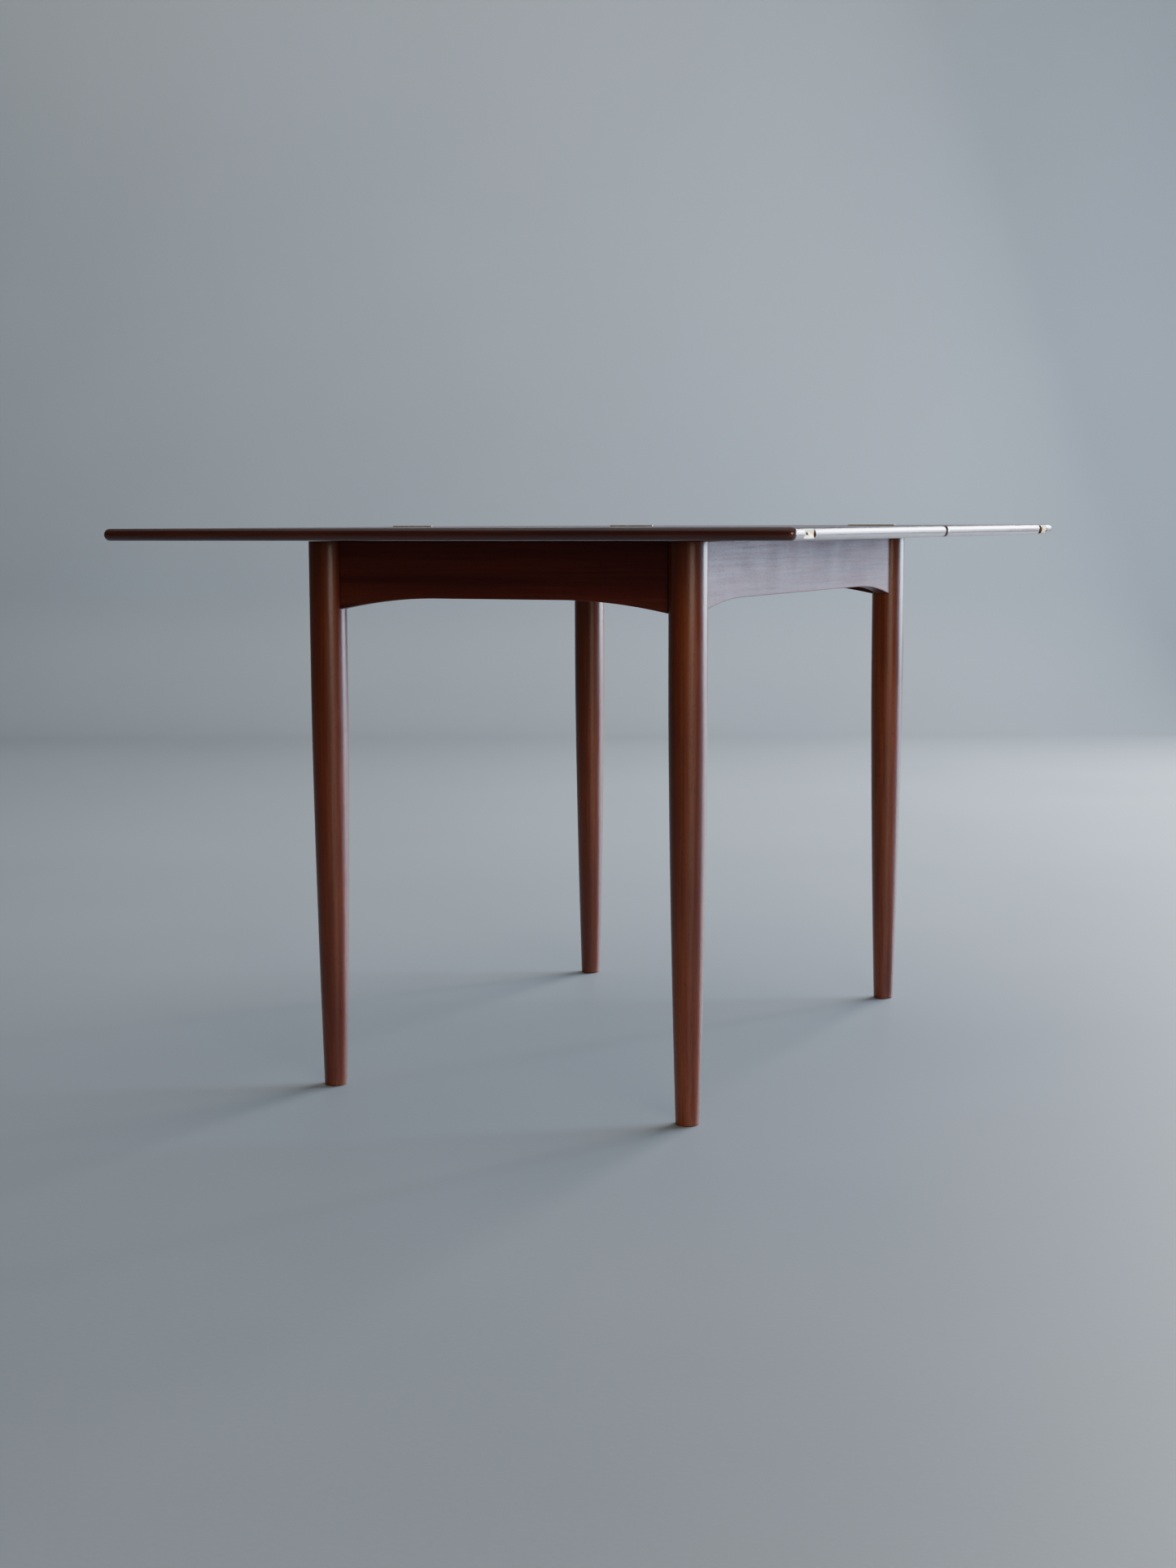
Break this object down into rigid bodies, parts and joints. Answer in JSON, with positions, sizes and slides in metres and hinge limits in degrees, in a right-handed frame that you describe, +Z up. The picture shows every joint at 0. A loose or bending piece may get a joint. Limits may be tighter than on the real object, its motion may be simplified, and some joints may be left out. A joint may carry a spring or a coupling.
{
  "type": "flip-top swivel table",
  "caption": "Wooden table on turned tapered legs whose hinged top folds in half, face to face, and turns a quarter on an off-centre pivot.",
  "frame": {"origin": "on the floor below the centre of the open top and of the leg frame", "axes": "+Z up; +Y across the split, from the front half to the back half, along the table's longest side; +X along the split line towards the edge with the catch"},
  "size_m": [0.9, 1.203, 0.7247],
  "materials": {
    "leg_wood": "satin varnish over red-brown hardwood",
    "apron_wood": "satin varnish over red-brown hardwood",
    "top_veneer": "semi-gloss varnish over veneer",
    "lipping_wood": "semi-gloss varnish over solid hardwood",
    "hidden_wood": "bare planed softwood",
    "felt": "wool felt",
    "brass": "satin, slightly tarnished",
    "steel": "zinc plated"
  },
  "bodies": {
    "frame": {"leg_front_left": "leg_wood", "leg_front_right": "leg_wood", "leg_back_right": "leg_wood", "leg_back_left": "leg_wood", "apron_front": "apron_wood", "apron_right": "apron_wood", "apron_back": "apron_wood", "apron_left": "apron_wood", "felt_strip_front": "felt", "felt_strip_right": "felt", "felt_strip_back": "felt", "felt_strip_left": "felt", "corner_block_front_left": "hidden_wood", "corner_block_front_right": "hidden_wood", "corner_block_back_right": "hidden_wood", "corner_block_back_left": "hidden_wood", "pivot_rail": "hidden_wood", "rail_cleat_left": "hidden_wood", "rail_cleat_right": "hidden_wood", "pivot_bush": "brass"},
    "front_top": {"front_panel": "top_veneer", "front_lipping_outer": "lipping_wood", "front_lipping_split": "lipping_wood", "front_lipping_left": "lipping_wood", "front_lipping_right": "lipping_wood", "pivot_plate": "steel", "pivot_plate_screw_1": "steel", "pivot_plate_screw_2": "steel", "pivot_plate_screw_3": "steel", "pivot_plate_screw_4": "steel", "pivot_bolt": "steel", "stop_peg": "steel", "pivot_washer": "steel", "pivot_spring_washer": "steel", "pivot_nut": "steel", "hinge_left_fixed_leaf": "brass", "hinge_middle_fixed_leaf": "brass", "hinge_right_fixed_leaf": "brass", "hinge_left_pin": "brass", "hinge_middle_pin": "brass", "hinge_right_pin": "brass", "strike_plate": "brass", "strike_pin": "steel", "strike_screw_1": "brass", "strike_screw_2": "brass"},
    "back_top": {"back_panel": "top_veneer", "back_lipping_outer": "lipping_wood", "back_lipping_split": "lipping_wood", "back_lipping_left": "lipping_wood", "back_lipping_right": "lipping_wood", "hinge_left_moving_leaf": "brass", "hinge_middle_moving_leaf": "brass", "hinge_right_moving_leaf": "brass", "catch_plate": "brass", "catch_plate_screw_1": "brass", "catch_pivot_screw": "brass"},
    "catch": {"catch_arm": "brass"}
  },
  "joints": [
    {"name": "top_swivel", "type": "hinge", "parent": "frame", "child": "front_top", "pos_m": [0.1505, -0.1505, 0.708], "axis": [0, 0, 1], "range_deg": [-90, 0]},
    {"name": "leaf_fold", "type": "hinge", "parent": "front_top", "child": "back_top", "pos_m": [0, 0, 0.7232], "axis": [1, 0, 0], "range_deg": [0, 180]},
    {"name": "catch_swing", "type": "hinge", "parent": "back_top", "child": "catch", "pos_m": [0.4487, 0.556, 0.7155], "axis": [-1, 0, 0], "range_deg": [0, 90]}
  ]
}
